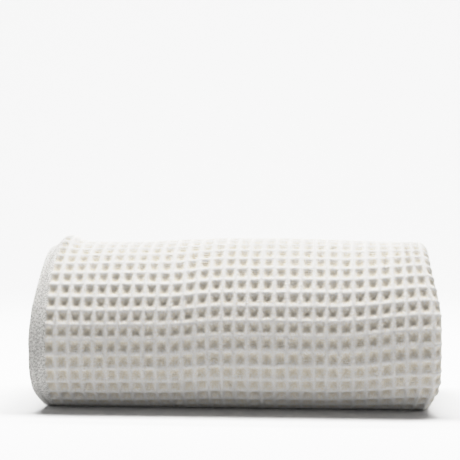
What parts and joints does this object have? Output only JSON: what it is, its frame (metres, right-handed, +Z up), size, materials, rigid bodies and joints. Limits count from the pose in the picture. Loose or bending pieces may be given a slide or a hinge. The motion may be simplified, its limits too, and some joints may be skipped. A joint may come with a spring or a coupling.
{
  "type": "rolled throw blanket",
  "caption": "Off-white waffle-weave cotton throw, folded into a narrow band and rolled up into a soft oval roll that rests on its side.",
  "frame": {"origin": "on the surface that the roll rests on, under the middle of its bounding box", "axes": "+X along the roll, from the hemmed edges to the folded edge; -Y its front; +Z up"},
  "size_m": [0.3174, 0.1672, 0.1309],
  "materials": {
    "waffle_cotton": "matte waffle weave",
    "plain_woven_hem": "matte plain weave",
    "sewing_thread": "matte cotton thread"
  },
  "bodies": {
    "roll": {"rolled_cloth": "waffle_cotton", "core_hem": "plain_woven_hem", "side_hem_a_roll": "plain_woven_hem", "side_hem_b_roll": "plain_woven_hem", "core_seam": "sewing_thread", "side_seam_a_roll": "sewing_thread", "side_seam_b_roll": "sewing_thread"},
    "loose_end": {"loose_end_cloth": "waffle_cotton", "end_hem": "plain_woven_hem", "side_hem_a_end": "plain_woven_hem", "side_hem_b_end": "plain_woven_hem", "end_seam": "sewing_thread", "side_seam_a_end": "sewing_thread", "side_seam_b_end": "sewing_thread"}
  },
  "joints": [
    {"name": "loose_end_lift", "type": "hinge", "parent": "roll", "child": "loose_end", "pos_m": [0, 0.05179, 0.11305], "axis": [1, 0, 0], "range_deg": [0, 90]}
  ]
}
